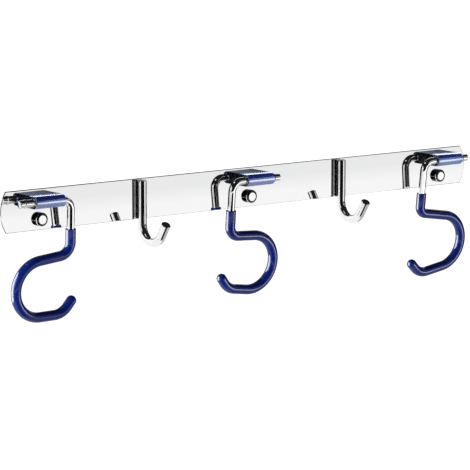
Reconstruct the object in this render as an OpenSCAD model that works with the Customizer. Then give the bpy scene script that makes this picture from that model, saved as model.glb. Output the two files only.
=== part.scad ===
// Wall rack with three swinging handle hooks and two coat hooks on a polished plate.
// Millimetres. The origin is the middle of the plate's back face, which lies on the wall at y = 0.
// +Z is up, +X runs along the plate and the rack stands out from the wall towards -Y.

/* [Plate] */
// Length of the back plate between the tips of its bowed ends
plate_l = 627; // [620:1:760]
// Height of the back plate
plate_h = 43; // [42:0.5:60]
// Thickness of the back plate
plate_t = 2; // [1.9:0.1:4]
// How far each end bows out past its corners
end_bow = 6.5; // [4:0.5:12]
// Bevel round the front edge of the plate
edge_bevel = 0.5; // [0.2:0.1:0.8]
// Diameter of the wall screw holes
wall_hole_d = 5; // [4:0.1:6]
// Distance of the wall screws from the lower edge of the plate
wall_hole_edge = 11.5; // [9.5:0.5:12.5]

/* [Pivot blocks] */
// Length of a block along the plate
block_l = 36; // [30:1:44]
// Height of a block, which is also the diameter of its round nose
block_h = 13; // [11.5:0.5:14]
// Distance from the front of the plate to the pivot axis
pivot_out = 16.7; // [15:0.1:22]
// Distance of the pivot axis from the upper edge of the plate
pivot_edge = 11.5; // [9.5:0.5:12.5]
// Distance from the tip of the plate to the outer end of the end blocks
end_margin = 25.9; // [20:0.1:30]
// Distance of the middle block to the right of the plate's middle
row_shift = 3.3; // [-5:0.1:5]
// Bevel on the ends of a block
block_bevel = 0.8; // [0.3:0.1:1.2]
// Flare of the bore's mouths
mouth_flare = 1.2; // [0.4:0.1:1.5]

/* [Handle hooks] */
// Diameter of the chromed rod
rod_d = 8; // [6:0.5:9]
// Outside diameter of the plastic sleeve
sleeve_d = 11; // [10:0.5:13]
// Length of the axle from the corner above the leg to its free end
axle_l = 63; // [60:0.5:80]
// Distance from each block to the corner above its leg: left, middle, right
leg_gap = [9.6, 17, 16.2]; // [9:0.1:18]
// Angle by which each leg leans away from its block
leg_splay = [2.8, -1, 1.2]; // [-6:0.1:6]
// Radius of the bend between axle and leg
corner_r = 11; // [9:0.5:12]
// Distance down each leg from the corner to the top of its sleeve
sleeve_start = [31, 31, 36]; // [20:0.5:40]
// Straight part of each leg inside its sleeve
leg_run = [13.9, 17.9, 15.2]; // [8:0.1:26]
// Radius of the bend at the foot of each leg
foot_r = [13.5, 11.4, 8.6]; // [7.5:0.1:16]
// Angle of the bend at the foot of each leg
foot_turn = [87.1, 85.3, 82.1]; // [75:0.1:95]
// Straight top bar of each hook
bar_run = [24.8, 22.5, 32.2]; // [15:0.1:36]
// Radius of the round bow that takes the handle
bow_r = 30; // [24:0.5:34]
// Angle of the round bow
bow_turn = [175, 184.5, 161.5]; // [155:0.5:190]
// Straight bottom bar of each hook
floor_run = [18, 17, 23.5]; // [10:0.5:30]
// Radius of the bend below the tip
tip_r = 20; // [12:0.5:24]
// Angle of the bend below the tip
tip_turn = [51.5, 44.5, 54.5]; // [35:0.5:60]
// Straight tip of the rod
tip_run = 7; // [4:0.5:12]
// Diameter of the peened ring that keeps the axle in its block
peen_d = 9; // [8.6:0.1:10]
// Length of the peened ring
peen_l = 2.5; // [1.5:0.1:4]
// Bare end of the axle past the peened ring
peen_tail = 6; // [3:0.5:7]
// Bevel on the free end of the axle
rod_bevel = 0.8; // [0.3:0.1:1.5]

/* [Coat hooks] */
// Diameter of the coat hooks
coat_d = 10; // [8:0.5:11]
// Distance of each coat hook to the right of the middle between its two blocks: left, right
coat_shift = [-9.7, -10.5]; // [-20:0.1:20]
// Distance from the top edge of the plate to the top of a coat hook
coat_inset = 1.5; // [0.5:0.1:4]
// Straight shank of a coat hook
coat_shank = 45; // [44:0.5:60]
// Radius of the coat hook's bend
coat_r = 18.5; // [14:0.5:22]
// Angle of the coat hook's bend
coat_turn = 147; // [120:1:170]
// Straight tip of a coat hook
coat_tip = 16; // [8:0.5:25]
// Depth of the flat milled on the shank where it sits on the plate
coat_flat = 0.4; // [0.2:0.1:0.8]
// Bevel on both ends of a coat hook
coat_bevel = 0.5; // [0.2:0.1:1]

/* [Screws] */
// Thread diameter of the small screws
screw_d = 3; // [2.5:0.1:3.5]
// Head diameter of the small screws
head_d = 5.5; // [5:0.1:6]
// Head height of the small screws
head_h = 1.6; // [1.2:0.1:1.7]
// Depth of the heads below the back of the plate
head_sink = 0.1; // [0:0.05:0.2]
// Length of the screws that hold a block
block_screw_l = 10; // [8:0.5:11]
// Distance between the two screws of a block
block_screw_pitch = 20; // [12:0.5:24]
// Length of the screws that hold a coat hook
coat_screw_l = 8; // [6:0.5:9]
// Distance between the two screws of a coat hook
coat_screw_pitch = 24; // [12:0.5:28]
// Width of the cross recess in the heads
recess_w = 0.8; // [0.5:0.1:1]
// Length of the cross recess in the heads
recess_l = 3; // [2:0.1:3.5]
// Depth of the cross recess in the heads
recess_h = 0.9; // [0.5:0.1:1.1]

/* [Screw caps] */
// Diameter of a cap
cap_d = 14.5; // [13:0.1:16]
// Height of a cap over the plate
cap_h = 6; // [5:0.1:7.5]
// Height of the domed part of a cap
dome_h = 1.6; // [1:0.1:2.2]
// Wall of a cap
cap_wall = 0.8; // [0.6:0.1:1]
// Floor of the seat under the head of the wall screw
seat_floor = 0.8; // [0.6:0.1:1]
// Rim of the seat
seat_rim = 1.3; // [0.8:0.1:1.6]

/* [Clearances] */
// Radial clearance of the axle in its bore
axle_clear = 0.075; // [0.02:0.005:0.1]
// Radial clearance of the rod in its sleeve
sleeve_clear = 0.05; // [0.02:0.01:0.1]
// Gap between the end of the rod and the closed end of the sleeve
tip_clear = 0.1; // [0.05:0.05:0.3]
// Gap between a resting hook and the wall
wall_gap = 0.5; // [0.1:0.1:2]
// Radial clearance of the screws in the plate
screw_clear = 0.1; // [0.05:0.05:0.2]
// Radial clearance of the screws in what they hold
thread_clear = 0.05; // [0.02:0.01:0.1]
// Radial clearance of a cap on its seat
cap_clear = 0.1; // [0.05:0.01:0.15]
// Least gap between a block and the cap below it
cap_gap = 1; // [0.5:0.1:3]
// Gap between the top of a seat and the dome of its cap
dome_clear = 0.3; // [0.1:0.05:0.4]

/* [Hidden] */
$fn = 72;
// Overrun of the cuts
over = 1;
// A bend is drawn down by this much, and the straight runs lap into it by the next
bend_draw = 0.02;
bend_lap = 0.3;
// Runs past the end of a blind hole's screw
hole_spare = 0.5;
// Steps in which a bend is measured for its lowest point
BEND_STEPS = 24;
HOOKS = [0, 1, 2];
// Side of its leg on which each block lies: -1 is left, 1 is right
block_side = [-1, 1, 1];

end_r = end_bow / 2 + plate_h * plate_h / (8 * end_bow);
end_x = plate_l / 2 - end_r;
pivot_y = -(plate_t + pivot_out);
pivot_z = plate_h / 2 - pivot_edge;
wall_hole_z = min(wall_hole_edge - plate_h / 2, pivot_z - (block_h + cap_d) / 2 - cap_gap);
block_pitch = plate_l / 2 - end_margin - block_l / 2;
bore_d = rod_d + 2 * axle_clear;
sleeve_bore = rod_d + 2 * sleeve_clear;
coat_y = -(plate_t + coat_d / 2 - coat_flat);
coat_top = plate_h / 2 - coat_inset;
cap_r = cap_d / 2;
dome_r = (cap_r * cap_r + dome_h * dome_h) / (2 * dome_h);
dome_bore_r = dome_r - cap_wall;
seat_r = cap_r - cap_wall - cap_clear;
seat_h = cap_h - dome_r + sqrt(dome_bore_r * dome_bore_r - seat_r * seat_r) - dome_clear;

function block_x(k) = row_shift + (k - 1) * block_pitch;
function leg_x(k) = block_x(k) - block_side[k] * (block_l / 2 + leg_gap[k]);
function coat_x(k) = (block_x(k) + block_x(k + 1)) / 2 + coat_shift[k];
function corner_turn(k) = 90 - leg_splay[k];
function corner_cut(k) = corner_r * tan(corner_turn(k) / 2);

// Each row of a path is a straight run, then the radius and the angle of the bend after it
function hook_path(k) = [
  [leg_run[k], foot_r[k], foot_turn[k]],
  [bar_run[k], bow_r, -bow_turn[k]],
  [floor_run[k], tip_r, -tip_turn[k]],
  [tip_run, 0, 0]
];
function rod_path(k) = concat(
  [[axle_l - corner_cut(k), corner_r, corner_turn(k)],
   [sleeve_start[k] - corner_cut(k) + leg_run[k], foot_r[k], foot_turn[k]]],
  [for (i = [1:3]) hook_path(k)[i]]
);
function sleeve_path(k) = concat(
  [for (i = [0:2]) hook_path(k)[i]],
  [[tip_run + tip_clear, 0, 0]]
);
coat_path = [[coat_shank, coat_r, coat_turn], [coat_tip, 0, 0]];

// Depth of the lowest point of a path below its start, for a heading measured from straight down
function bend_depth(r, head, turn) = r * sign(turn) * (sin(head + turn) - sin(head));
function path_depth(path, depth, head, i = 0) =
  i == len(path) ? depth :
  let (
    foot = depth + path[i][0] * cos(head),
    bend = [for (s = [0:BEND_STEPS]) bend_depth(path[i][1], head, path[i][2] * s / BEND_STEPS)]
  )
  max(foot + max(bend), path_depth(path, foot + bend[BEND_STEPS], head + path[i][2], i + 1));
function hook_drop(k) =
  path_depth(hook_path(k), sleeve_start[k] * cos(leg_splay[k]), -leg_splay[k]);

// A hook at rest lies back until its sleeve almost meets the wall
function hook_lean(k) = asin((plate_t + pivot_out - sleeve_d / 2 - wall_gap) / hook_drop(k));

// Turns +Z to point out from the wall, with +Y up
module outward() {
  rotate([90, 0, 0]) children();
}

// Turns +Z to point along the plate
module lengthwise() {
  rotate([0, 90, 0]) children();
}

// Round bar or tube that follows a path from the origin along +Z, bending towards +X for a positive angle
module bent_bar(path, d, bore = 0, i = 0) {
  if (i < len(path)) {
    run = path[i][0];
    r = path[i][1];
    turn = path[i][2];
    side = turn < 0 ? 180 : 0;
    lap_back = i > 0 ? bend_lap : 0;
    lap_on = turn == 0 ? 0 : bend_lap;
    translate([0, 0, -lap_back]) bar_length(run + lap_back + lap_on, d, bore);
    translate([0, 0, run]) rotate([0, 0, side]) translate([r, 0, 0]) {
      if (turn != 0) bar_bend(r, abs(turn), d, bore);
      rotate([0, abs(turn), 0]) translate([-r, 0, 0]) rotate([0, 0, -side])
        bent_bar(path, d, bore, i + 1);
    }
  }
}

// Places what follows at the end of a path, with the path running on along +Z
module at_path_end(path, i = 0) {
  if (i < len(path)) {
    side = path[i][2] < 0 ? 180 : 0;
    translate([0, 0, path[i][0]]) rotate([0, 0, side]) translate([path[i][1], 0, 0])
      rotate([0, abs(path[i][2]), 0]) translate([-path[i][1], 0, 0]) rotate([0, 0, -side])
        at_path_end(path, i + 1) children();
  } else {
    children();
  }
}

module bar_length(l, d, bore) {
  difference() {
    cylinder(d = d, h = l);
    if (bore > 0) translate([0, 0, -over]) cylinder(d = bore, h = l + 2 * over);
  }
}

module bar_bend(r, angle, d, bore) {
  rotate([90, 0, 180]) rotate_extrude(angle = angle) translate([r, 0]) difference() {
    circle(d = d - 2 * bend_draw);
    if (bore > 0) circle(d = bore + 2 * bend_draw);
  }
}

// Cuts a bevel off the end of a bar that stops at the origin on its way along +Z
module end_bevel(d, bevel) {
  rotate_extrude() polygon([
    [d / 2 - bevel, 0], [d / 2, -bevel], [d / 2 + over, -bevel], [d / 2 + over, over], [d / 2 - bevel, over]
  ]);
}

module back_plate() {
  color("silver") difference() {
    intersection() {
      translate([-plate_l / 2 - over, 0, 0]) rotate([90, 0, 90]) linear_extrude(plate_l + 2 * over)
        polygon([
          [0, -plate_h / 2], [edge_bevel - plate_t, -plate_h / 2], [-plate_t, edge_bevel - plate_h / 2],
          [-plate_t, plate_h / 2 - edge_bevel], [edge_bevel - plate_t, plate_h / 2], [0, plate_h / 2]
        ]);
      union() {
        outward() translate([0, 0, plate_t / 2])
          cube([2 * end_x, plate_h + 2 * over, plate_t], center = true);
        for (side = [-1, 1]) translate([side * end_x, 0, 0]) outward() rotate_extrude() polygon([
          [0, 0], [end_r, 0], [end_r, plate_t - edge_bevel], [end_r - edge_bevel, plate_t], [0, plate_t]
        ]);
      }
    }
    for (k = HOOKS) translate([block_x(k), over, wall_hole_z])
      outward() cylinder(d = wall_hole_d, h = plate_t + 2 * over);
    at_block_screws() countersunk_hole();
    at_coat_screws() countersunk_hole();
  }
}

// Places what follows at each small screw, with the origin on the back of the plate
module at_block_screws() {
  for (k = HOOKS, side = [-1, 1])
    translate([block_x(k) + side * block_screw_pitch / 2, 0, pivot_z]) outward() children();
}

module at_coat_screws() {
  for (k = [0, 1], side = [-1, 1])
    translate([coat_x(k), 0, side * coat_screw_pitch / 2]) outward() children();
}

module countersunk_hole() {
  translate([0, 0, -over]) cylinder(d = screw_d + 2 * screw_clear, h = plate_t + 2 * over);
  translate([0, 0, -over]) cylinder(d = head_d + 2 * screw_clear, h = over + head_sink);
  translate([0, 0, head_sink])
    cylinder(d1 = head_d + 2 * screw_clear, d2 = screw_d + 2 * screw_clear, h = head_h);
}

module countersunk_screw(l) {
  difference() {
    translate([0, 0, head_sink]) union() {
      cylinder(d1 = head_d, d2 = screw_d, h = head_h);
      cylinder(d = screw_d, h = l);
    }
    for (a = [0, 90]) rotate([0, 0, a]) translate([-recess_l / 2, -recess_w / 2, head_sink - over])
      cube([recess_l, recess_w, recess_h + over]);
  }
}

module block_screws() {
  color("gainsboro") at_block_screws() countersunk_screw(block_screw_l);
}

module coat_hook_screws() {
  color("gainsboro") at_coat_screws() countersunk_screw(coat_screw_l);
}

// Blind hole for the thread of a small screw, measured from the back of the plate
module thread_hole(l) {
  cylinder(d = screw_d + 2 * thread_clear, h = l + head_sink + hole_spare);
}

// Block that lies on the plate, with a round nose about the pivot axis
module pivot_block(k) {
  color("midnightblue") difference() {
    translate([block_x(k) - block_l / 2, 0, pivot_z]) union() {
      translate([0, -plate_t, 0]) outward() linear_extrude(pivot_out) polygon([
        [block_bevel, -block_h / 2], [block_l - block_bevel, -block_h / 2],
        [block_l, block_bevel - block_h / 2], [block_l, block_h / 2 - block_bevel],
        [block_l - block_bevel, block_h / 2], [block_bevel, block_h / 2],
        [0, block_h / 2 - block_bevel], [0, block_bevel - block_h / 2]
      ]);
      translate([0, pivot_y, 0]) lengthwise() rotate([0, 0, 180]) rotate_extrude(angle = 180) polygon([
        [0, 0], [block_h / 2 - block_bevel, 0], [block_h / 2, block_bevel],
        [block_h / 2, block_l - block_bevel], [block_h / 2 - block_bevel, block_l], [0, block_l]
      ]);
    }
    translate([block_x(k), pivot_y, pivot_z]) {
      lengthwise() cylinder(d = bore_d, h = block_l + 2 * over, center = true);
      for (side = [0, 180]) rotate([0, 0, side]) translate([block_l / 2 - mouth_flare, 0, 0]) lengthwise()
        cylinder(d1 = bore_d, d2 = bore_d + 2 * (mouth_flare + over), h = mouth_flare + over);
    }
    at_block_screws() thread_hole(block_screw_l);
  }
}

// Places a hook that is drawn in the XZ plane, with its corner at the origin and its bow towards +X
module hang_hook(k) {
  translate([leg_x(k), pivot_y, pivot_z]) rotate([hook_lean(k), 0, 0])
    rotate([0, 0, block_side[k] < 0 ? 180 : 0]) children();
}

// Turns a path's start to run towards -X, bending down for a positive angle
module towards_leg() {
  rotate([0, -90, 0]) rotate([0, 0, 180]) children();
}

module holder_rod(k) {
  color("gainsboro") hang_hook(k) difference() {
    union() {
      translate([axle_l, 0, 0]) towards_leg() bent_bar(rod_path(k), rod_d);
      translate([axle_l - peen_tail - peen_l, 0, 0]) lengthwise() peened_ring();
    }
    translate([axle_l, 0, 0]) lengthwise() end_bevel(rod_d, rod_bevel);
  }
}

// Ring swaged up on the axle, tapering to the rod at both ends
module peened_ring() {
  taper = (peen_d - rod_d) / 2;
  rotate_extrude() polygon([
    [0, 0], [rod_d / 2, 0], [peen_d / 2, taper],
    [peen_d / 2, peen_l - taper], [rod_d / 2, peen_l], [0, peen_l]
  ]);
}

// Dipped sleeve with a round closed tip
module grip_sleeve(k) {
  color("darkblue") hang_hook(k) towards_leg() rotate([0, corner_turn(k), 0])
    translate([0, 0, sleeve_start[k]]) {
      bent_bar(sleeve_path(k), sleeve_d, sleeve_bore);
      at_path_end(sleeve_path(k)) round_tip();
    }
}

module round_tip() {
  rotate_extrude() intersection() {
    circle(d = sleeve_d);
    square(sleeve_d);
  }
}

// Turns a path's start to run down the plate from the top of a coat hook, bending out from the wall
module hang_coat_hook(k) {
  translate([coat_x(k), coat_y, coat_top]) rotate([180, 0, 0]) rotate([0, 0, 90]) children();
}

// Bar bent to a J, seated on the plate along a milled flat
module coat_hook(k) {
  color("gainsboro") difference() {
    hang_coat_hook(k) bent_bar(coat_path, coat_d);
    hang_coat_hook(k) at_path_end(coat_path) end_bevel(coat_d, coat_bevel);
    translate([coat_x(k), coat_y, coat_top]) end_bevel(coat_d, coat_bevel);
    translate([coat_x(k) - coat_d / 2, -plate_t, -plate_h / 2 - over])
      cube([coat_d, coat_d, plate_h + 2 * over]);
    at_coat_screws() thread_hole(coat_screw_l);
  }
}

// Places what follows at a wall screw, with the origin on the front of the plate
module at_wall_screw(k) {
  translate([block_x(k), -plate_t, wall_hole_z]) outward() children();
}

module cap_seat(k) {
  color("lightgray") at_wall_screw(k) difference() {
    cylinder(r = seat_r, h = seat_h);
    translate([0, 0, -over]) cylinder(d = wall_hole_d, h = seat_h + 2 * over);
    translate([0, 0, seat_floor]) cylinder(r = seat_r - seat_rim, h = seat_h);
  }
}

module screw_cap(k) {
  color("whitesmoke") at_wall_screw(k) difference() {
    intersection() {
      cylinder(r = cap_r, h = cap_h);
      translate([0, 0, cap_h - dome_r]) sphere(r = dome_r);
    }
    intersection() {
      translate([0, 0, -over]) cylinder(r = cap_r - cap_wall, h = cap_h + over);
      translate([0, 0, cap_h - dome_r]) sphere(r = dome_bore_r);
    }
  }
}

back_plate();
pivot_block(0);  // pivot_block_left
pivot_block(1);  // pivot_block_centre
pivot_block(2);  // pivot_block_right
holder_rod(0);  // holder_rod_left
holder_rod(1);  // holder_rod_centre
holder_rod(2);  // holder_rod_right
grip_sleeve(0);  // grip_sleeve_left
grip_sleeve(1);  // grip_sleeve_centre
grip_sleeve(2);  // grip_sleeve_right
coat_hook(0);  // coat_hook_left
coat_hook(1);  // coat_hook_right
block_screws();
coat_hook_screws();
cap_seat(0);  // cap_seat_left
cap_seat(1);  // cap_seat_centre
cap_seat(2);  // cap_seat_right
screw_cap(0);  // screw_cap_left
screw_cap(1);  // screw_cap_centre
screw_cap(2);  // screw_cap_right
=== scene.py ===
"""Wall mop holder rack.

A polished plate with three swinging S hooks, two coat hooks and three screw caps.
"""
import math

import bmesh
import bpy
from mathutils import Matrix, Vector


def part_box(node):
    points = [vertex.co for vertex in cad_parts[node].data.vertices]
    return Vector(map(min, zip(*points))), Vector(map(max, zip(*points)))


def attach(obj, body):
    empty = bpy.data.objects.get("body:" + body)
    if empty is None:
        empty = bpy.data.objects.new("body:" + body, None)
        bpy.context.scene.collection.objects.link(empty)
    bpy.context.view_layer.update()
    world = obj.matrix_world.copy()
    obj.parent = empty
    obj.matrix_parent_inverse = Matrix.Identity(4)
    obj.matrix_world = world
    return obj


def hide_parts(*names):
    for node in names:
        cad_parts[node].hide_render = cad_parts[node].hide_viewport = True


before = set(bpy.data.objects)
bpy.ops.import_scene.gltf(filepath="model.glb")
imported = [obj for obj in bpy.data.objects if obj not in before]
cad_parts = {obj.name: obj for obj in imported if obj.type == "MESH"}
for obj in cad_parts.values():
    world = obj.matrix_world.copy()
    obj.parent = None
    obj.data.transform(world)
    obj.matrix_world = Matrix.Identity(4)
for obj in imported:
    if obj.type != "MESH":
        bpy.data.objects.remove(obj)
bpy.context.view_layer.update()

MM = 0.001

# Stations of the swinging hooks and of the coat hooks, counted from the left
SIDES = ("left", "centre", "right")
COAT_SIDES = ("left", "right")

# Camera at the photograph's angle, in metres
CAMERA_PLACE = Vector((-1.8384, -2.3827, 0.4249))
CAMERA_TARGET = Vector((-0.01565, -0.002, -0.05053))
CAMERA_LENS = 216.7
CAMERA_SENSOR = 36.0

# Plate, in millimetres
END_BOW = 6.5
PLATE_EDGE = 0.85
WALL_HOLE_D = 5.0

# Pivot blocks, in millimetres
BLOCK_EDGE = 0.8
BORE_D = 8.15
MOUTH_FLARE = 1.2

# Swinging hooks, in millimetres and degrees; three values are for left, centre and right
ROD_D = 8.0
SLEEVE_D = 11.0
SLEEVE_BORE = 8.1
AXLE_L = 63.0
CORNER_R = 11.0
BOW_R = 30.0
TIP_R = 20.0
TIP_RUN = 7.0
TIP_CLEAR = 0.1
WALL_GAP = 0.5
PEEN_D = 9.0
PEEN_L = 2.5
PEEN_TAIL = 6.0
ROD_BEVEL = 0.8
SLEEVE_LIP = 0.5
LEG_GAP = (9.6, 17.0, 16.2)
LEG_SPLAY = (2.8, -1.0, 1.2)
SLEEVE_START = (31.0, 31.0, 36.0)
LEG_RUN = (13.9, 17.9, 15.2)
FOOT_R = (13.5, 11.4, 8.6)
FOOT_TURN = (87.1, 85.3, 82.1)
BAR_RUN = (24.8, 22.5, 32.2)
BOW_TURN = (175.0, 184.5, 161.5)
FLOOR_RUN = (18.0, 17.0, 23.5)
TIP_TURN = (51.5, 44.5, 54.5)
BLOCK_SIDE = (-1, 1, 1)

# Coat hooks, in millimetres and degrees
COAT_D = 10.0
COAT_FLAT = 0.4
COAT_SHANK = 45.0
COAT_R = 18.5
COAT_TURN = 147.0
COAT_TIP = 16.0
COAT_BEVEL = 0.5

# Screws, in millimetres
SCREW_D = 3.0
HEAD_D = 5.5
HEAD_H = 1.6
HEAD_SINK = 0.1
SCREW_CLEAR = 0.1
THREAD_PITCH = 0.5
THREAD_DEPTH = 0.2
RECESS_W = 0.8
RECESS_L = 3.0
RECESS_H = 0.9
BLOCK_SCREW_L = 10.0
BLOCK_SCREW_PITCH = 20.0
COAT_SCREW_L = 8.0
COAT_SCREW_PITCH = 24.0

# Screw caps and their seats, in millimetres and radians
CAP_WALL = 0.8
CAP_FACE_R = 4.5
CAP_FACE_EDGE = 0.1
CAP_BEVEL = math.radians(14.0)
CAP_ROUND = 1.8
DOME_H = 1.6
SEAT_FLOOR = 0.8
SEAT_RIM = 1.3

# Fineness of the meshes; a girth is a share of a bar's radius
ARC_STEP = 2.0
BAR_SIDES = 56
LATHE_STEPS = 72
ROUND_STEPS = 5
ARCH_STEPS = 10
NOSE_STEPS = 30
SHARP_ANGLE = math.radians(35)
FLAT_COSINE = 0.9999
END_COSINE = 0.95
WELD = 0.002 * MM
POINT_GIRTH = 0.0001
FACE_SKIP = 0.004
ACROSS_PLATE = Vector((0.0, 1.0, 0.0))
ALONG_PLATE = Vector((1.0, 0.0, 0.0))

# Noise in the finishes: its middle range, its detail, and no squeeze along any axis
NOISE_MIDDLE = (0.3, 0.7)
CLOUD_DETAIL = 4.0
MARKS_DETAIL = 6.0
RIPPLE_DETAIL = 1.0
EVEN = (1.0, 1.0, 1.0)

# Polished plate; a relief is the strength and the depth of a bump, and a noise's scale is in
# cells a metre
PLATE_BUFFING = 60.0
PLATE_SQUEEZE = (0.4, 1.0, 14.0)
# Painted shade: the first tone at the plate's lower edge, the darker second tone at its top edge
PLATE_SHADE_TONES = ((0.97, 0.97, 0.97), (0.86, 0.862, 0.865))
PLATE_ROUGHNESS = (0.01, 0.025)
PLATE_RELIEF = (0.02, 0.00001)

# Chrome
ROD_HAZE = 28.0
COAT_HAZE = 34.0
CAP_HAZE = 60.0
MARKS_PER_HAZE = 14.0
CHROME_TONES = ((0.90, 0.905, 0.915), (0.96, 0.96, 0.965))
CHROME_ROUGHNESS = (0.015, 0.04)
CHROME_RELIEF = (0.06, 0.00004)

# Painted shade on the back of a coat hook's shank: how far it faces the wall, its fade in
# millimetres, its tone
SHANK_SHADE_FACING = (0.0, 0.3)
SHANK_SHADE_FADE = 2.0
# Painted shade: the dark tone on the back of the shank
SHANK_SHADE_TONE = (0.25, 0.25, 0.255, 1.0)

# Painted shade on a cap: tones by how far its surface faces out, and by how far it faces up
# Painted shade: dark on the cap's side and on the bevel round its face, bright on the shoulder and
# the face
CAP_SHADE_TONES = ((0.1, 0.15), (0.25, 1.0), (0.66, 1.0), (0.72, 0.12), (0.975, 0.12), (0.99, 1.0))
CAP_SHADE_TOP_FACING = (0.1, 0.35)
# Painted shade: darker where the cap faces up
CAP_TOP_SHADE_TONES = (1.0, 0.12)

# Studio, in metres and degrees; a bearing is 0 in front of the plate and grows to the right
FLOOR_DROP = 1.5
FLOOR_HALF = 18.0
FLOOR_TONE = (0.5, 0.5, 0.5, 1.0)
FLOOR_SEEN = 0.8
FLOOR_MIRRORED = 0.55
FLOOR_LEVEL = 0.8
FLOOR_SOFTNESS = 25.0
FLOOR_LAMP_BEARING = -60.0
FLOOR_LAMP_HEIGHT = 65.0
WHITE = (1.0, 1.0, 1.0, 1.0)
WORLD_LEVEL = 0.07
LAMP_REACH = 2.0
LAMP_W = 1.4
CARD_STEP = 6.0
FAR_CARD = 2.4
RING_CARD = 2.2
LOW_CARD = 1.4

# Soft lamps: bearing, height, level, and the slots of the pieces that they light
SOFT_LAMPS = (
    ("left_lamp", -95.0, 0.0, 2.5, ("sleeve_plastic", "seat_plastic")),
    ("front_low_lamp", 20.0, -40.0, 1.1, ("sleeve_plastic",)),
    ("front_lamp", 40.0, 12.0, 0.8, ("block_plastic",)),
)

# Windows that only glint: bearing, height, width, tallness, level, and the slots that they light
GLINT_LAMPS = (
    ("sleeve_window", -117.0, 0.0, 1.7, 2.6, 15.0, ("sleeve_plastic",)),
    ("sleeve_line_window", 42.0, -20.0, 0.5, 0.9, 5.0, ("sleeve_plastic",)),
    ("block_window", 37.0, -6.0, 2.4, 0.5, 1.6, ("block_plastic",)),
    ("block_rim_window", 145.0, 19.0, 3.0, 0.6, 5.0, ("block_plastic",)),
)

# Cards that the polished faces mirror: range of bearings, range of heights, reach and glow
REFLECTION_CARDS = (
    ("dark_front_card", (-66.0, 20.0), (-12.0, 24.0), FAR_CARD, 0.004),
    ("dark_front_mid_card", (-68.0, 12.0), (-38.0, -18.0), FAR_CARD, 0.004),
    ("dark_front_low_card", (-60.0, 6.0), (-70.0, -36.0), LOW_CARD, 0.004),
    ("dark_right_card", (20.0, 56.0), (-3.0, 7.0), FAR_CARD, 0.03),
    ("grey_right_card", (20.0, 56.0), (7.0, 24.0), FAR_CARD, 0.4),
    ("dark_front_ceiling_card", (-100.0, 100.0), (24.0, 90.0), FAR_CARD, 0.012),
    ("dark_back_ceiling_card", (100.0, 260.0), (34.0, 90.0), FAR_CARD, 0.012),
    ("bright_left_ceiling_card", (-140.0, -60.0), (59.0, 67.0), RING_CARD, 1.0),
    ("bright_low_strip_card", (20.0, 56.0), (-25.0, -12.0), FAR_CARD, 1.5),
    ("dark_side_card", (56.0, 112.0), (-25.0, 22.0), FAR_CARD, 0.08),
    ("grey_low_card", (6.0, 125.0), (-75.0, -25.0), LOW_CARD, 0.5),
)


def photo_camera():
    """Camera that sees the rack from the photograph's angle."""
    lens = bpy.data.cameras.new("photo_camera")
    lens.sensor_width = CAMERA_SENSOR
    lens.lens = CAMERA_LENS
    camera = bpy.data.objects.new("photo_camera", lens)
    camera.location = CAMERA_PLACE
    camera.rotation_euler = (CAMERA_TARGET - CAMERA_PLACE).to_track_quat("-Z", "Y").to_euler()
    bpy.context.collection.objects.link(camera)
    bpy.context.scene.camera = camera


photo_camera()


def box_of(node):
    """Lowest and highest corner of a node of the frame, in millimetres."""
    low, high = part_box(node)
    return Vector(low) / MM, Vector(high) / MM


PLATE_LOW, PLATE_HIGH = box_of("back_plate")
PLATE_H = PLATE_HIGH.z - PLATE_LOW.z
PLATE_T = PLATE_HIGH.y - PLATE_LOW.y
BLOCK_BOXES = [box_of("pivot_block_" + side) for side in SIDES]
BLOCK_L = BLOCK_BOXES[0][1].x - BLOCK_BOXES[0][0].x
BLOCK_H = BLOCK_BOXES[0][1].z - BLOCK_BOXES[0][0].z
BLOCK_X = [(low.x + high.x) / 2 for low, high in BLOCK_BOXES]
PIVOT_Y = BLOCK_BOXES[0][0].y + BLOCK_H / 2
PIVOT_Z = BLOCK_BOXES[0][0].z + BLOCK_H / 2
CAP_BOXES = [box_of("screw_cap_" + side) for side in SIDES]
CAP_R = (CAP_BOXES[0][1].x - CAP_BOXES[0][0].x) / 2
CAP_H = CAP_BOXES[0][1].y - CAP_BOXES[0][0].y
CAP_Z = (CAP_BOXES[0][0].z + CAP_BOXES[0][1].z) / 2
SEAT_BOX = box_of("cap_seat_left")
COAT_BOXES = [box_of("coat_hook_" + side) for side in COAT_SIDES]
COAT_X = [(low.x + high.x) / 2 for low, high in COAT_BOXES]
COAT_TOP = COAT_BOXES[0][1].z
COAT_Y = -(PLATE_T + COAT_D / 2 - COAT_FLAT)


# Materials

def new_finish(name):
    """A new material, with its nodes and its shader."""
    material = bpy.data.materials.new(name)
    material.use_nodes = True
    return material, material.node_tree, material.node_tree.nodes["Principled BSDF"]


def noise(tree, scale, squeeze=EVEN, detail=CLOUD_DETAIL):
    """Noise on Object coordinates, squeezed along each axis by its factor."""
    place = tree.nodes.new("ShaderNodeTexCoord")
    mapping = tree.nodes.new("ShaderNodeMapping")
    mapping.inputs["Scale"].default_value = squeeze
    texture = tree.nodes.new("ShaderNodeTexNoise")
    texture.inputs["Scale"].default_value = scale
    texture.inputs["Detail"].default_value = detail
    tree.links.new(place.outputs["Object"], mapping.inputs["Vector"])
    tree.links.new(mapping.outputs["Vector"], texture.inputs["Vector"])
    return texture.outputs["Fac"]


def one_axis(tree, coordinate, axis):
    """One axis of the Object place or the Normal of a point on a piece."""
    place = tree.nodes.new("ShaderNodeTexCoord")
    axes = tree.nodes.new("ShaderNodeSeparateXYZ")
    tree.links.new(place.outputs[coordinate], axes.inputs["Vector"])
    return axes.outputs[axis]


def fade(tree, value, start, end, low=0.0, high=1.0):
    """Runs from low to high as a value goes from start to end."""
    node = tree.nodes.new("ShaderNodeMapRange")
    node.inputs["From Min"].default_value = start
    node.inputs["From Max"].default_value = end
    node.inputs["To Min"].default_value = low
    node.inputs["To Max"].default_value = high
    tree.links.new(value, node.inputs["Value"])
    return node.outputs["Result"]


def spread(tree, value, low, high):
    """Maps the middle of a noise to a range."""
    return fade(tree, value, *NOISE_MIDDLE, low, high)


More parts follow.
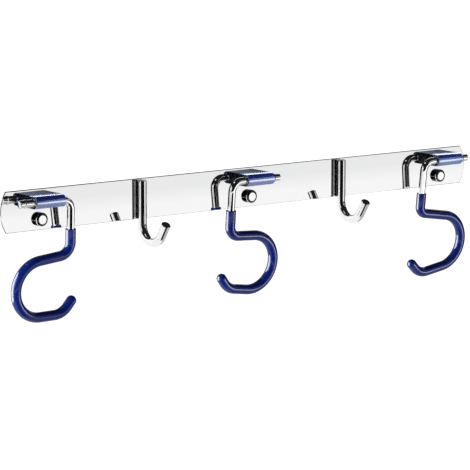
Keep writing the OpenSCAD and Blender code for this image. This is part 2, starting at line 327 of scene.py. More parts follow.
def two_tone(tree, value, low, high):
    """Colour between two tones over the middle of a noise."""
    ramp = tree.nodes.new("ShaderNodeValToRGB")
    for element, position, tone in zip(ramp.color_ramp.elements, NOISE_MIDDLE, (low, high)):
        element.position = position
        element.color = (*tone, 1.0)
    tree.links.new(value, ramp.inputs["Fac"])
    return ramp.outputs["Color"]


def calculate(tree, operation, *values):
    """Math on values that are numbers or outputs of other nodes."""
    node = tree.nodes.new("ShaderNodeMath")
    node.operation = operation
    for socket, value in zip(node.inputs, values):
        if isinstance(value, float):
            socket.default_value = value
        else:
            tree.links.new(value, socket)
    return node.outputs["Value"]


def bump(tree, shader, value, strength, depth):
    """Raises the surface of a finish by a noise."""
    node = tree.nodes.new("ShaderNodeBump")
    node.inputs["Strength"].default_value = strength
    node.inputs["Distance"].default_value = depth
    tree.links.new(value, node.inputs["Height"])
    tree.links.new(node.outputs["Normal"], shader.inputs["Normal"])


def polished_steel():
    """Mirror-polished sheet with faint lengthwise buffing marks, and painted shade that makes it
    brighter to its lower edge.
    """
    material, tree, shader = new_finish("polished_plate_steel")
    shader.inputs["Metallic"].default_value = 1.0
    buffing = noise(tree, PLATE_BUFFING, PLATE_SQUEEZE)
    # Painted shade: the plate's colour darkens from its lower edge to its top edge
    painted_shade = fade(tree, one_axis(tree, "Object", "Z"), PLATE_LOW.z * MM, PLATE_HIGH.z * MM)
    tree.links.new(two_tone(tree, painted_shade, *PLATE_SHADE_TONES), shader.inputs["Base Color"])
    tree.links.new(spread(tree, buffing, *PLATE_ROUGHNESS), shader.inputs["Roughness"])
    bump(tree, shader, buffing, *PLATE_RELIEF)
    return material


def marked_chrome(name, haze):
    """Metal with handling marks in its gloss, and no colour yet."""
    material, tree, shader = new_finish(name)
    shader.inputs["Metallic"].default_value = 1.0
    marks = noise(tree, haze * MARKS_PER_HAZE, detail=MARKS_DETAIL)
    tree.links.new(spread(tree, marks, *CHROME_ROUGHNESS), shader.inputs["Roughness"])
    return material, tree, shader


def chrome_haze(tree, shader, scale):
    """Slight haze of bright chrome in its relief; gives the colour to go with it."""
    haze = noise(tree, scale)
    bump(tree, shader, haze, *CHROME_RELIEF)
    return two_tone(tree, haze, *CHROME_TONES)


def rod_chrome():
    """Bright chrome with slight haze and handling marks."""
    material, tree, shader = marked_chrome("rod_chrome", ROD_HAZE)
    tree.links.new(chrome_haze(tree, shader, ROD_HAZE), shader.inputs["Base Color"])
    return material


def coat_chrome():
    """Bright chrome with painted shade, dark on the back of the shank, which the plate hides."""
    material, tree, shader = marked_chrome("coat_hook_chrome", COAT_HAZE)
    fade_end = PLATE_LOW.z + SHANK_SHADE_FADE
    back = fade(tree, one_axis(tree, "Normal", "Y"), *SHANK_SHADE_FACING)
    beside = fade(tree, one_axis(tree, "Object", "Z"), PLATE_LOW.z * MM, fade_end * MM)
    # Painted shade: the back of the shank above the plate's lower edge takes the dark tone
    tone = tree.nodes.new("ShaderNodeMix")
    tone.data_type = "RGBA"
    tone.inputs["B"].default_value = SHANK_SHADE_TONE
    tree.links.new(calculate(tree, "MULTIPLY", back, beside), tone.inputs["Factor"])
    tree.links.new(chrome_haze(tree, shader, COAT_HAZE), tone.inputs["A"])
    tree.links.new(tone.outputs["Result"], shader.inputs["Base Color"])
    return material


def cap_chrome():
    """Bright chrome with painted shade, darker on a cap's side and top and on the bevel round its
    face.
    """
    material, tree, shader = marked_chrome("cap_chrome", CAP_HAZE)
    # Painted shade: dark on the cap's side and on the bevel round its face
    ring = tree.nodes.new("ShaderNodeValToRGB")
    first, *middle, last = CAP_SHADE_TONES
    for element, (position, level) in zip(ring.color_ramp.elements, (first, last)):
        element.position = position
        element.color = (level, level, level, 1.0)
    for position, level in middle:
        ring.color_ramp.elements.new(position).color = (level, level, level, 1.0)
    outward = calculate(tree, "MULTIPLY", one_axis(tree, "Normal", "Y"), -1.0)
    tree.links.new(outward, ring.inputs["Fac"])
    # Painted shade: darker where the cap faces up
    top = fade(tree, one_axis(tree, "Normal", "Z"), *CAP_SHADE_TOP_FACING, *CAP_TOP_SHADE_TONES)
    tone = tree.nodes.new("ShaderNodeMix")
    tone.data_type = "RGBA"
    tone.blend_type = "MULTIPLY"
    tone.inputs["Factor"].default_value = 1.0
    tree.links.new(top, tone.inputs["A"])
    tree.links.new(ring.outputs["Color"], tone.inputs["B"])
    tree.links.new(tone.outputs["Result"], shader.inputs["Base Color"])
    return material


def grained_finish(name, cloud, tones, grain, roughness, relief, detail=CLOUD_DETAIL):
    """Clouded tones with a finer grain in their gloss and relief; gives the shader too."""
    material, tree, shader = new_finish(name)
    fine = noise(tree, grain, detail=detail)
    tree.links.new(two_tone(tree, noise(tree, cloud), *tones), shader.inputs["Base Color"])
    tree.links.new(spread(tree, fine, *roughness), shader.inputs["Roughness"])
    bump(tree, shader, fine, *relief)
    return material, shader


def block_lacquer():
    """Glossy deep blue with a strong sheen."""
    material, shader = grained_finish(
        "block_blue_gloss",
        cloud=55.0, tones=((0.008, 0.025, 0.3), (0.012, 0.035, 0.38)),
        grain=1400.0, roughness=(0.2, 0.25), relief=(0.01, 0.00001))
    shader.inputs["IOR"].default_value = 6.0
    shader.inputs["Specular Tint"].default_value = (0.72, 0.83, 1.0, 1.0)
    return material


def block_shaded_end():
    """Dull blue of the flat ends of a block, darkened to nearly black as painted shade."""
    material, _ = grained_finish(
        "block_blue_cut_end",
        # Painted shade: nearly black tones on the block's ends
        cloud=90.0, tones=((0.0015, 0.0022, 0.012), (0.0025, 0.0035, 0.02)),
        grain=900.0, roughness=(0.32, 0.42), relief=(0.02, 0.00001))
    return material


def dipped_vinyl():
    """Soft dark blue vinyl with the slight ripple of a dipped coat."""
    material, shader = grained_finish(
        "sleeve_blue_vinyl",
        cloud=70.0, tones=((0.0024, 0.009, 0.095), (0.0032, 0.0115, 0.115)),
        grain=260.0, roughness=(0.1, 0.13), relief=(0.02, 0.00002), detail=RIPPLE_DETAIL)
    shader.inputs["Specular Tint"].default_value = (0.9, 0.94, 1.0, 1.0)
    return material


def seat_nylon():
    """Pale grey moulded nylon."""
    material, _ = grained_finish(
        "seat_grey_nylon",
        cloud=120.0, tones=((0.52, 0.52, 0.5), (0.6, 0.6, 0.58)),
        grain=900.0, roughness=(0.4, 0.55), relief=(0.1, 0.00003))
    return material


def zinc_steel():
    """Zinc-plated screw steel."""
    material, shader = grained_finish(
        "screw_zinc_steel",
        cloud=300.0, tones=((0.5, 0.51, 0.53), (0.62, 0.62, 0.63)),
        grain=1500.0, roughness=(0.25, 0.45), relief=(0.1, 0.00002))
    shader.inputs["Metallic"].default_value = 1.0
    return material


PLATE_FINISH = polished_steel()
ROD_FINISH = rod_chrome()
COAT_FINISH = coat_chrome()
CAP_FINISH = cap_chrome()
BLOCK_FINISH = block_lacquer()
BLOCK_SHADED_END_FINISH = block_shaded_end()
SLEEVE_FINISH = dipped_vinyl()
SEAT_FINISH = seat_nylon()
SCREW_FINISH = zinc_steel()


# Mesh helpers

def mesh_object(name, points, faces=(), edges=()):
    """Object from points in millimetres."""
    mesh = bpy.data.meshes.new(name)
    mesh.from_pydata([Vector(point) * MM for point in points], edges, faces)
    obj = bpy.data.objects.new(name, mesh)
    bpy.context.collection.objects.link(obj)
    return obj


def settle(obj, flat_axis=None):
    """Merges doubles, turns the faces outwards and shades all but those across flat_axis smooth."""
    work = bmesh.new()
    work.from_mesh(obj.data)
    bmesh.ops.remove_doubles(work, verts=work.verts, dist=WELD)
    bmesh.ops.dissolve_degenerate(work, edges=work.edges, dist=WELD)
    bmesh.ops.recalc_face_normals(work, faces=work.faces)
    for face in work.faces:
        face.smooth = flat_axis is None or abs(face.normal.dot(flat_axis)) < FLAT_COSINE
    for edge in work.edges:
        edge.smooth = len(edge.link_faces) == 2 and edge.calc_face_angle() < SHARP_ANGLE
    work.to_mesh(obj.data)
    work.free()


PIECES = {}


def hand_over(obj, node, body, slot, finish):
    """Gives a finished piece its material and its place on the frame, and lists its slot."""
    PIECES.setdefault(slot, []).append(obj)
    obj.data.materials.clear()
    obj.data.materials.append(finish)
    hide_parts(node)
    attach(obj, body)


def shade_ends(block, finish):
    """Gives the flat ends of a block their own finish, which paints shade on them."""
    block.data.materials.append(finish)
    for face in block.data.polygons:
        if abs(face.normal.x) > END_COSINE:
            face.material_index = 1


def ring_faces(rings, sides, closed):
    """Quads between neighbouring rings of points, from the last back to the first if closed."""
    spans = rings if closed else rings - 1
    faces = []
    for ring in range(spans):
        here = ring * sides
        there = (ring + 1) % rings * sides
        for side in range(sides):
            step = (side + 1) % sides
            faces.append((here + side, here + step, there + step, there + side))
    return faces


def round_over(radius):
    """Inset and depth of the points of a rounded edge, from the flat side to the full side."""
    steps = [math.pi / 2 * step / ROUND_STEPS for step in range(ROUND_STEPS + 1)]
    return [(radius * (1 - math.sin(turn)), radius * (1 - math.cos(turn))) for turn in steps]


# Trees

def new_tree(name, inputs, output):
    """Empty tree with its named inputs and one output."""
    tree = bpy.data.node_groups.new(name, "GeometryNodeTree")
    for label, kind in inputs:
        tree.interface.new_socket(label, in_out="INPUT", socket_type="NodeSocket" + kind)
    tree.interface.new_socket(output, in_out="OUTPUT", socket_type="NodeSocketGeometry")
    return tree


def bent_bar_tree():
    """Round bar along a path, with the path's girth as a share of the bar's radius."""
    inputs = (("Path", "Geometry"), ("Bar Radius", "Float"), ("Sides", "Int"), ("Weld", "Float"),
              ("Finish", "Material"))
    tree = new_tree("bent_bar", inputs, "Bar")
    add = tree.nodes.new
    link = tree.links.new
    entry = add("NodeGroupInput")
    curve = add("GeometryNodeMeshToCurve")
    section = add("GeometryNodeCurvePrimitiveCircle")
    girth = add("GeometryNodeInputNamedAttribute")
    girth.inputs["Name"].default_value = "girth"
    radius = add("ShaderNodeMath")
    radius.operation = "MULTIPLY"
    sweep = add("GeometryNodeCurveToMesh")
    weld = add("GeometryNodeMergeByDistance")
    smooth = add("GeometryNodeSetShadeSmooth")
    real = add("GeometryNodeRealizeInstances")
    paint = add("GeometryNodeSetMaterial")
    leave = add("NodeGroupOutput")
    section.inputs["Radius"].default_value = 1.0
    link(entry.outputs["Path"], curve.inputs["Mesh"])
    link(entry.outputs["Sides"], section.inputs["Resolution"])
    link(girth.outputs["Attribute"], radius.inputs[0])
    link(entry.outputs["Bar Radius"], radius.inputs[1])
    link(curve.outputs["Curve"], sweep.inputs["Curve"])
    link(section.outputs["Curve"], sweep.inputs["Profile Curve"])
    link(radius.outputs["Value"], sweep.inputs["Scale"])
    link(sweep.outputs["Mesh"], weld.inputs["Geometry"])
    link(entry.outputs["Weld"], weld.inputs["Distance"])
    link(weld.outputs["Geometry"], smooth.inputs["Geometry"])
    link(smooth.outputs["Geometry"], real.inputs["Geometry"])
    link(real.outputs["Geometry"], paint.inputs["Geometry"])
    link(entry.outputs["Finish"], paint.inputs["Material"])
    link(paint.outputs["Geometry"], leave.inputs["Bar"])
    return tree


def screw_row_tree():
    """One screw on each point."""
    inputs = (("Places", "Geometry"), ("Screw", "Object"), ("Finish", "Material"))
    tree = new_tree("screw_row", inputs, "Screws")
    add = tree.nodes.new
    link = tree.links.new
    entry = add("NodeGroupInput")
    screw = add("GeometryNodeObjectInfo")
    rows = add("GeometryNodeInstanceOnPoints")
    real = add("GeometryNodeRealizeInstances")
    paint = add("GeometryNodeSetMaterial")
    leave = add("NodeGroupOutput")
    link(entry.outputs["Screw"], screw.inputs["Object"])
    link(entry.outputs["Places"], rows.inputs["Points"])
    link(screw.outputs["Geometry"], rows.inputs["Instance"])
    link(rows.outputs["Instances"], real.inputs["Geometry"])
    link(real.outputs["Geometry"], paint.inputs["Geometry"])
    link(entry.outputs["Finish"], paint.inputs["Material"])
    link(paint.outputs["Geometry"], leave.inputs["Screws"])
    return tree


def grow(obj, tree, sizes):
    """Runs a tree on an object with its named inputs set, and leaves a plain mesh."""
    modifier = obj.modifiers.new(tree.name, "NODES")
    modifier.node_group = tree
    for socket in tree.interface.items_tree:
        if socket.in_out == "INPUT" and socket.name in sizes:
            modifier[socket.identifier] = sizes[socket.name]
    depsgraph = bpy.context.evaluated_depsgraph_get()
    grown = bpy.data.meshes.new_from_object(obj.evaluated_get(depsgraph))
    obj.modifiers.remove(modifier)
    obj.data = grown


BENT_BAR = bent_bar_tree()
SCREW_ROW = screw_row_tree()


# Bent bars

def heading_of(angle):
    """Unit step in the plane of a path for an angle in degrees."""
    return Vector((math.cos(math.radians(angle)), math.sin(math.radians(angle))))


def bent_path(start, heading, rows):
    """Points of runs and bends, and the last heading. A row is a run, a radius and a turn."""
    points = [start]
    for run, radius, turn in rows:
        corner = points[-1] + run * heading_of(heading)
        points.append(corner)
        if turn:
            arm = math.copysign(radius, turn)
            centre = corner + arm * heading_of(heading + 90)
            steps = math.ceil(abs(turn) / ARC_STEP)
            points += [centre + arm * heading_of(heading - 90 + turn * step / steps)
                       for step in range(1, steps + 1)]
            heading += turn
    return points, heading


def bar_chain(start, heading, rows, girth, first, last):
    """Points and girths along a path; its two ends give girths by the distance along the bar."""
    points, end_heading = bent_path(start, heading, rows)
    chain = [(start + along * heading_of(heading), share) for along, share in first]
    chain += [(point, girth) for point in points[1:-1]]
    chain += [(points[-1] + along * heading_of(end_heading), share) for along, share in last]
    return chain


def flat_end(radius, bevel):
    """Girths of a bevelled end, from its middle outwards."""
    return [(0.0, POINT_GIRTH), (FACE_SKIP, 1 - bevel / radius), (bevel, 1.0)]


def bar_piece(name, chains, place, diameter, finish):
    """Bar with one or more chains of points, which place moves from their plane into the rack."""
    points = []
    girths = []
    edges = []
    for chain in chains:
        first = len(points)
        points += [place(point) for point, share in chain]
        girths += [share for point, share in chain]
        edges += [(index, index + 1) for index in range(first, len(points) - 1)]
    obj = mesh_object(name, points, edges=edges)
    obj.data.attributes.new("girth", "FLOAT", "POINT").data.foreach_set("value", girths)
    sizes = {"Bar Radius": diameter / 2 * MM, "Sides": BAR_SIDES, "Weld": WELD, "Finish": finish}
    grow(obj, BENT_BAR, sizes)
    settle(obj)
    return obj


def hook_rows(station):
    """Runs and bends of a hook from the top of its sleeve on."""
    return [
        (LEG_RUN[station], FOOT_R[station], FOOT_TURN[station]),
        (BAR_RUN[station], BOW_R, -BOW_TURN[station]),
        (FLOOR_RUN[station], TIP_R, -TIP_TURN[station]),
    ]


def sleeve_start(station):
    """Start and heading of a sleeve in its hook's plane, with the corner above the leg at zero."""
    heading = 270.0 - LEG_SPLAY[station]
    return SLEEVE_START[station] * heading_of(heading), heading


def hook_place(station):
    """Moves a point from the plane of a hook to its place at rest, leaning back to the wall."""
    start, heading = sleeve_start(station)
    points, _ = bent_path(start, heading, hook_rows(station))
    drop = -min(point.y for point in points)
    lean = math.asin((-PIVOT_Y - SLEEVE_D / 2 - WALL_GAP) / drop)
    corner_gap = BLOCK_L / 2 + LEG_GAP[station]
    corner_x = BLOCK_X[station] - BLOCK_SIDE[station] * corner_gap
    corner = Vector((corner_x, PIVOT_Y, PIVOT_Z))
    turn = Matrix.Rotation(lean, 3, "X")

    def place(point):
        return corner + turn @ Vector((BLOCK_SIDE[station] * point.x, 0.0, point.y))

    return place


def holder_rod(station):
    """Chromed rod: axle with a peened ring, corner, leg and S hook."""
    corner_turn = 90.0 - LEG_SPLAY[station]
    corner_cut = CORNER_R * math.tan(math.radians(corner_turn / 2))
    leg = SLEEVE_START[station] - corner_cut
    rows = [
        (AXLE_L - corner_cut, CORNER_R, corner_turn),
        (leg + LEG_RUN[station], FOOT_R[station], FOOT_TURN[station]),
        *hook_rows(station)[1:],
        (TIP_RUN, 0.0, 0.0),
    ]
    swell = PEEN_D / ROD_D
    taper = (PEEN_D - ROD_D) / 2
    ring_end = PEEN_TAIL + PEEN_L
    first = flat_end(ROD_D / 2, ROD_BEVEL)
    first += [(PEEN_TAIL, 1.0), (PEEN_TAIL + taper, swell)]
    first += [(ring_end - taper, swell), (ring_end, 1.0)]
    last = [(-FACE_SKIP, 1.0), (0.0, POINT_GIRTH)]
    chain = bar_chain(Vector((AXLE_L, 0.0)), 180.0, rows, 1.0, first, last)
    name = "chromed_rod_" + SIDES[station]
    return bar_piece(name, [chain], hook_place(station), ROD_D, ROD_FINISH)


def grip_sleeve(station):
    """Dipped sleeve with a rounded lip, an open top and a round closed tip."""
    start, heading = sleeve_start(station)
    rows = hook_rows(station) + [(TIP_RUN + TIP_CLEAR, 0.0, 0.0)]
    bore = SLEEVE_BORE / SLEEVE_D
    radius = SLEEVE_D / 2
    lip = [(depth + FACE_SKIP, 1 - inset / radius) for inset, depth in round_over(SLEEVE_LIP)]
    turns = [math.pi / 2 * step / ARCH_STEPS for step in range(ARCH_STEPS)]
    tip = [(radius * math.sin(turn), math.cos(turn)) for turn in turns] + [(radius, POINT_GIRTH)]
    skin = bar_chain(start, heading, rows, 1.0, [(0.0, bore)] + lip, tip)
    floor = [(-FACE_SKIP, bore), (0.0, POINT_GIRTH)]
    core = bar_chain(start, heading, rows, bore, [(0.0, bore)], floor)
    name = "dipped_sleeve_" + SIDES[station]
    return bar_piece(name, [skin, core], hook_place(station), SLEEVE_D, SLEEVE_FINISH)


def coat_hook(station):
    """Chromed bar bent to a J, with a flat milled on its shank where it sits on the plate."""
    rows = [(COAT_SHANK, COAT_R, -COAT_TURN), (COAT_TIP, 0.0, 0.0)]
    end = flat_end(COAT_D / 2, COAT_BEVEL)
    last = [(-along, share) for along, share in reversed(end)]
    chain = bar_chain(Vector((COAT_Y, COAT_TOP)), 270.0, rows, 1.0, end, last)

    def place(point):
        return Vector((COAT_X[station], point.x, point.y))

    obj = bar_piece("coat_hook_bar_" + COAT_SIDES[station], [chain], place, COAT_D, COAT_FINISH)
    for vertex in obj.data.vertices:
        vertex.co.y = min(vertex.co.y, -PLATE_T * MM)
    settle(obj, ACROSS_PLATE)
    return obj


# Plate, blocks, caps, seats and screws

SLOT_SIDES = ((0, 1, 3, 2), (4, 6, 7, 5), (0, 4, 5, 1), (2, 3, 7, 6), (0, 2, 6, 4), (1, 5, 7, 3))


def plate_outline(inset):
    """Outline of the plate with its two bowed ends, moved in by inset."""
    half = PLATE_H / 2
    end_r = END_BOW / 2 + PLATE_H * PLATE_H / (8 * END_BOW)
    middle_z = (PLATE_LOW.z + PLATE_HIGH.z) / 2
    sweep = math.asin((half - inset) / (end_r - inset))
    steps = math.ceil(2 * math.degrees(math.asin(half / end_r)) / ARC_STEP)
    arm = end_r - inset
    points = []
    for side, tip_x in ((1, PLATE_HIGH.x), (-1, -PLATE_LOW.x)):
        for step in range(steps + 1):
            turn = -sweep + 2 * sweep * step / steps
            out = tip_x - end_r + arm * math.cos(turn)
            points.append((side * out, middle_z + side * arm * math.sin(turn)))
    return points


def cut(obj, cutters):
    """Takes the cutters out of an object and deletes them."""
    for cutter in cutters:
        knife = obj.modifiers.new("cut", "BOOLEAN")
        knife.operation = "DIFFERENCE"
        knife.solver = "EXACT"
        knife.object = cutter
    depsgraph = bpy.context.evaluated_depsgraph_get()
    shape = bpy.data.meshes.new_from_object(obj.evaluated_get(depsgraph))
    obj.modifiers.clear()
    obj.data = shape
    for cutter in cutters:
        bpy.data.objects.remove(cutter)


def lathe(name, profile, axis_x, axis_z, face_y, closed=True):
    """Piece turned about an axis out from the wall; a profile point is a radius and a height."""
    points = []
    for radius, height in profile:
        for step in range(LATHE_STEPS):
            turn = 2 * math.pi * step / LATHE_STEPS
            x = axis_x + radius * math.cos(turn)
            z = axis_z + radius * math.sin(turn)
            points.append((x, face_y - height, z))
    obj = mesh_object(name, points, ring_faces(len(profile), LATHE_STEPS, closed))
    settle(obj)
    return obj


def block_screw_places():
    """Places of the two screws behind each block."""
    return [(x + side * BLOCK_SCREW_PITCH / 2, PIVOT_Z) for x in BLOCK_X for side in (-1, 1)]


def coat_screw_places():
    """Places of the two screws behind each coat hook."""
    return [(x, side * COAT_SCREW_PITCH / 2) for x in COAT_X for side in (-1, 1)]


def countersink_cutter(x, z):
    """Cutter for a countersunk hole from the back of the plate."""
    mouth = HEAD_D / 2 + SCREW_CLEAR
    stem = SCREW_D / 2 + SCREW_CLEAR
    profile = [(0.0, -PLATE_T), (mouth, -PLATE_T), (mouth, HEAD_SINK)]
    profile += [(stem, HEAD_SINK + HEAD_H), (stem, 2 * PLATE_T), (0.0, 2 * PLATE_T)]
    return lathe("cutter", profile, x, z, 0.0, closed=False)


def wall_hole_cutter(x):
    """Cutter for the hole of a wall screw."""
    radius = WALL_HOLE_D / 2
    profile = [(0.0, -PLATE_T), (radius, -PLATE_T), (radius, 2 * PLATE_T), (0.0, 2 * PLATE_T)]
    return lathe("cutter", profile, x, CAP_Z, 0.0, closed=False)


def back_plate():
    """Polished strip with bowed ends and a rounded front edge, drilled for all its screws."""
    edge = reversed(round_over(PLATE_EDGE))
    rings = [(0.0, 0.0)] + [(inset, -PLATE_T + depth) for inset, depth in edge]
    outlines = [[(x, depth, z) for x, z in plate_outline(inset)] for inset, depth in rings]
    sides = len(outlines[0])
    points = [point for outline in outlines for point in outline]
    faces = ring_faces(len(outlines), sides, False)
    faces.append(tuple(range(sides)))
    faces.append(tuple(range(len(points) - sides, len(points))))
    obj = mesh_object("polished_strip", points, faces)
    settle(obj)
    cutters = [wall_hole_cutter(x) for x in BLOCK_X]
    cutters += [countersink_cutter(x, z) for x, z in block_screw_places() + coat_screw_places()]
    cut(obj, cutters)
    settle(obj, ACROSS_PLATE)
    return obj


def block_outline(inset):
    """Section of a block with a round nose, as offsets from the pivot towards -Y and +Z."""
    reach = BLOCK_H / 2 - inset
    back = -PIVOT_Y - PLATE_T
    turns = [math.pi / 2 - math.pi * step / NOSE_STEPS for step in range(NOSE_STEPS + 1)]
    nose = [(reach * math.cos(turn), reach * math.sin(turn)) for turn in turns]
    flat = [share / ROUND_STEPS for share in range(1, ROUND_STEPS + 1)]
    under = [(-back * share, -reach) for share in flat]
    behind = [(-back, -reach + 2 * reach * share) for share in flat]
    over = [(-back * (1 - share), reach) for share in flat[:-1]]
    return nose + under + behind + over


def pivot_block(station):
    """Block with a round nose, rounded ends and a flared bore."""
    section = block_outline(0.0)
    bearings = [math.atan2(rise, out) for out, rise in section]
    half = BLOCK_L / 2

    def outer(along, inset):
        return [(BLOCK_X[station] + along, PIVOT_Y - out, PIVOT_Z + rise)
                for out, rise in block_outline(inset)]

    def bore(along, radius):
        return [(BLOCK_X[station] + along,
                 PIVOT_Y - radius * math.cos(turn),
                 PIVOT_Z + radius * math.sin(turn)) for turn in bearings]

    edge = round_over(BLOCK_EDGE)
    rings = [outer(-half + depth, inset) for inset, depth in edge]
    rings += [outer(half - depth, inset) for inset, depth in reversed(edge)]
    rings += [bore(half, BORE_D / 2 + MOUTH_FLARE), bore(half - MOUTH_FLARE, BORE_D / 2)]
    rings += [bore(MOUTH_FLARE - half, BORE_D / 2), bore(-half, BORE_D / 2 + MOUTH_FLARE)]
    points = [point for ring in rings for point in ring]
    faces = ring_faces(len(rings), len(section), True)
    obj = mesh_object("glossy_block_" + SIDES[station], points, faces)
    settle(obj, ALONG_PLATE)
    return obj


def cap_hollow():
    """Points of a cap's inside, from the middle of its shallow dome out and down to its rim."""
    radius = CAP_R - CAP_WALL
    sphere = (CAP_R * CAP_R + DOME_H * DOME_H) / (2 * DOME_H) - CAP_WALL
    reach = math.asin(radius / sphere)
    top = CAP_H - CAP_WALL
    turns = [reach * step / ARCH_STEPS for step in range(ARCH_STEPS + 1)]
    points = [(sphere * math.sin(turn), top - sphere * (1 - math.cos(turn))) for turn in turns]
    return points + [(radius, 0.0)]


def screw_cap(station):
    """Chrome cap with a flat face, a bevel and a round shoulder, hollow behind."""
    last = math.pi / 2 - CAP_BEVEL
    bevel_w = CAP_R - CAP_ROUND * (1 - math.cos(last)) - CAP_FACE_R
    low = CAP_H - bevel_w * math.tan(CAP_BEVEL) - CAP_ROUND * math.sin(last)
    profile = [(CAP_R, 0.0)]
    for step in range(ARCH_STEPS + 1):
        turn = last * step / ARCH_STEPS
        inset = CAP_ROUND * (1 - math.cos(turn))
        profile.append((CAP_R - inset, low + CAP_ROUND * math.sin(turn)))
    face_edge = CAP_H - CAP_FACE_EDGE * math.tan(CAP_BEVEL)
    profile += [(CAP_FACE_R + CAP_FACE_EDGE, face_edge), (CAP_FACE_R, CAP_H)]
    profile += [(CAP_FACE_R - CAP_FACE_EDGE, CAP_H), (0.0, CAP_H)]
    profile += cap_hollow()
    return lathe("chrome_cap_" + SIDES[station], profile, BLOCK_X[station], CAP_Z, -PLATE_T)


def cap_seat(station):
    """Ring seat that the cap snaps over, with a floor under the screw's head."""
    radius = (SEAT_BOX[1].x - SEAT_BOX[0].x) / 2
    height = SEAT_BOX[1].y - SEAT_BOX[0].y
    hole = WALL_HOLE_D / 2
    inner = radius - SEAT_RIM
    profile = [(hole, 0.0), (radius, 0.0), (radius, height)]
    profile += [(inner, height), (inner, SEAT_FLOOR), (hole, SEAT_FLOOR)]
    return lathe("ring_seat_" + SIDES[station], profile, BLOCK_X[station], CAP_Z, -PLATE_T)


def countersunk_screw(length):
    """Countersunk screw with a rolled thread and a cross recess, pointing out from the wall."""
    radius = SCREW_D / 2
    start = HEAD_SINK + HEAD_H
    end = HEAD_SINK + length
    profile = [(0.0, HEAD_SINK), (HEAD_D / 2, HEAD_SINK), (radius, start)]
    turns = int((end - start) / THREAD_PITCH) - 1
    for turn in range(turns):
        profile.append((radius - THREAD_DEPTH, start + (turn + 0.5) * THREAD_PITCH))
        profile.append((radius, start + (turn + 1) * THREAD_PITCH))
    profile += [(radius - THREAD_DEPTH, end), (0.0, end)]
    screw = lathe("screw", profile, 0.0, 0.0, 0.0, closed=False)
    slots = []
    for width, height in ((RECESS_L, RECESS_W), (RECESS_W, RECESS_L)):
        corners = [(x, y, z)
                   for x in (-width / 2, width / 2)
                   for y in (-RECESS_H - HEAD_SINK, HEAD_D)
                   for z in (-height / 2, height / 2)]
        slots.append(mesh_object("slot", corners, SLOT_SIDES))
        settle(slots[-1])
    cut(screw, slots)
    settle(screw)
    return screw


def screw_row(name, length, places):
    """Screws at each place along the back of the plate."""
    screw = countersunk_screw(length)
    obj = mesh_object(name, [(x, 0.0, z) for x, z in places])
    grow(obj, SCREW_ROW, {"Screw": screw, "Finish": SCREW_FINISH})
    bpy.data.objects.remove(screw)
    return obj


hand_over(back_plate(), "back_plate", "rack", "polished_plate", PLATE_FINISH)
for station, side in enumerate(SIDES):
    block = pivot_block(station)
    hand_over(block, "pivot_block_" + side, "rack", "block_plastic", BLOCK_FINISH)
    # Painted shade on the ends of each block
    shade_ends(block, BLOCK_SHADED_END_FINISH)
    hand_over(holder_rod(station), "holder_rod_" + side, "hook_" + side, "chrome_rod", ROD_FINISH)
    sleeve = grip_sleeve(station)
    hand_over(sleeve, "grip_sleeve_" + side, "hook_" + side, "sleeve_plastic", SLEEVE_FINISH)
    hand_over(cap_seat(station), "cap_seat_" + side, "rack", "seat_plastic", SEAT_FINISH)
    hand_over(screw_cap(station), "screw_cap_" + side, "cap_" + side, "chrome_cap", CAP_FINISH)
for station, side in enumerate(COAT_SIDES):
    hand_over(coat_hook(station), "coat_hook_" + side, "rack", "chrome_rod", COAT_FINISH)
block_row = screw_row("block_screw_row", BLOCK_SCREW_L, block_screw_places())
hand_over(block_row, "block_screws", "rack", "screw_steel", SCREW_FINISH)
coat_row = screw_row("coat_screw_row", COAT_SCREW_L, coat_screw_places())
hand_over(coat_row, "coat_hook_screws", "rack", "screw_steel", SCREW_FINISH)


# Studio

def direction(bearing, height):
    """Unit direction of a bearing and a height."""
    level = math.cos(math.radians(height))
    sideways = level * math.sin(math.radians(bearing))
    forwards = -level * math.cos(math.radians(bearing))
    return Vector((sideways, forwards, math.sin(math.radians(height))))


def place_lamp(lamp, bearing, height, lit):
    """Puts a lamp at a bearing and a height, aimed at the rack, to light the given pieces only."""
    obj = bpy.data.objects.new(lamp.name, lamp)
    obj.location = direction(bearing, height) * LAMP_REACH
    obj.rotation_euler = direction(bearing, height).to_track_quat("Z", "Y").to_euler()
    bpy.context.collection.objects.link(obj)
    group = bpy.data.collections.new(lamp.name + "_lights")
    for piece in lit:
        group.objects.link(piece)
    obj.light_linking.receiver_collection = group
    return obj


def soft_lamp(name, bearing, height, level, lit):
    """Soft square lamp that gives no glint; level 1 lights a facing surface to its own colour."""
    lamp = bpy.data.lights.new(name, "AREA")
    lamp.size = LAMP_W
    lamp.energy = level * (math.pi * LAMP_REACH) ** 2
    place_lamp(lamp, bearing, height, lit).visible_glossy = False


def floor_lamp(lit):
    """Soft lamp from above that gives the floor its light and the rack's shadow."""
    lamp = bpy.data.lights.new("floor_lamp", "SUN")
    lamp.energy = FLOOR_LEVEL * math.pi
    lamp.angle = math.radians(FLOOR_SOFTNESS)
    place_lamp(lamp, FLOOR_LAMP_BEARING, FLOOR_LAMP_HEIGHT, lit)


def glint_lamp(name, bearing, height, width, tall, level, lit):
    """Lamp that only gives the lit pieces a glint of its own shape and level."""
    lamp = bpy.data.lights.new(name, "AREA")
    lamp.shape = "RECTANGLE"
    lamp.size = width
    lamp.size_y = tall
    lamp.energy = level * math.pi * width * tall
    place_lamp(lamp, bearing, height, lit).visible_diffuse = False


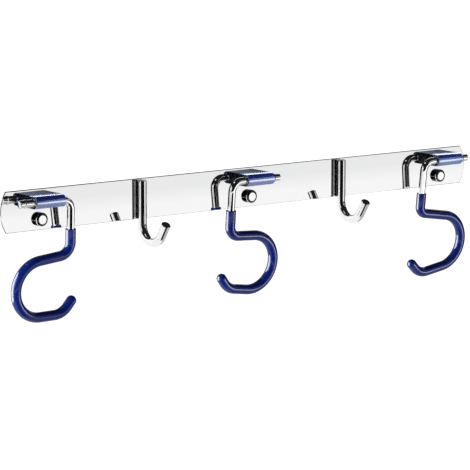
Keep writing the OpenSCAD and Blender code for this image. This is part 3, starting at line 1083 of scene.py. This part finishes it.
def reflection_card(name, bearings, heights, reach, glow):
    """Curved card round the rack that only shows in its polished faces."""
    across = max(2, math.ceil((bearings[1] - bearings[0]) / CARD_STEP) + 1)
    up = max(2, math.ceil((heights[1] - heights[0]) / CARD_STEP) + 1)
    points = []
    for row in range(up):
        height = heights[0] + (heights[1] - heights[0]) * row / (up - 1)
        for column in range(across):
            bearing = bearings[0] + (bearings[1] - bearings[0]) * column / (across - 1)
            points.append(direction(bearing, height) * reach / MM)
    faces = []
    for row in range(up - 1):
        for column in range(across - 1):
            corner = row * across + column
            faces.append((corner, corner + 1, corner + across + 1, corner + across))
    card = mesh_object(name, points, faces)
    material = bpy.data.materials.new(name)
    material.use_nodes = True
    tree = material.node_tree
    light = tree.nodes.new("ShaderNodeEmission")
    light.inputs["Strength"].default_value = glow
    tree.links.new(light.outputs["Emission"], tree.nodes["Material Output"].inputs["Surface"])
    card.data.materials.append(material)
    card.visible_camera = False
    card.visible_diffuse = False
    card.visible_transmission = False
    card.visible_volume_scatter = False
    card.visible_shadow = False


def ray_share(tree, camera_share, glossy_share):
    """Strength by the kind of ray: what the camera sees, and what gloss and glass see."""
    ray = tree.nodes.new("ShaderNodeLightPath")
    seen = calculate(tree, "MULTIPLY", ray.outputs["Is Camera Ray"], camera_share)
    glossy = ray.outputs["Is Glossy Ray"]
    gloss = calculate(tree, "MAXIMUM", glossy, ray.outputs["Is Transmission Ray"])
    return calculate(tree, "MULTIPLY_ADD", gloss, glossy_share, seen)


def pale_floor():
    """White floor far below the rack, which keeps its shadow."""
    half = FLOOR_HALF / MM
    drop = -FLOOR_DROP / MM
    corners = [(-half, -half, drop), (half, -half, drop), (half, half, drop), (-half, half, drop)]
    floor = mesh_object("pale_floor", corners, [(0, 1, 2, 3)])
    material, tree, shader = new_finish("pale_floor")
    shader.inputs["Base Color"].default_value = FLOOR_TONE
    shader.inputs["Specular IOR Level"].default_value = 0.0
    shader.inputs["Roughness"].default_value = 1.0
    shader.inputs["Emission Color"].default_value = WHITE
    glow = ray_share(tree, FLOOR_SEEN, FLOOR_MIRRORED)
    tree.links.new(glow, shader.inputs["Emission Strength"])
    floor.data.materials.append(material)
    return floor


def white_world():
    """White surroundings to look at, with a low even light."""
    world = bpy.data.worlds.new("studio")
    bpy.context.scene.world = world
    world.use_nodes = True
    tree = world.node_tree
    sky = tree.nodes["Background"]
    sky.inputs["Color"].default_value = WHITE
    level = calculate(tree, "MAXIMUM", ray_share(tree, 1.0, 1.0), WORLD_LEVEL)
    tree.links.new(level, sky.inputs["Strength"])


def pieces_of(slots):
    """All pieces that take their finish from the given slots."""
    return [piece for slot in slots for piece in PIECES[slot]]


white_world()
floor_lamp([pale_floor()])
for name, bearing, height, level, slots in SOFT_LAMPS:
    soft_lamp(name, bearing, height, level, pieces_of(slots))
for name, bearing, height, width, tall, level, slots in GLINT_LAMPS:
    glint_lamp(name, bearing, height, width, tall, level, pieces_of(slots))
for card in REFLECTION_CARDS:
    reflection_card(*card)

bpy.context.scene.view_settings.view_transform = "Standard"
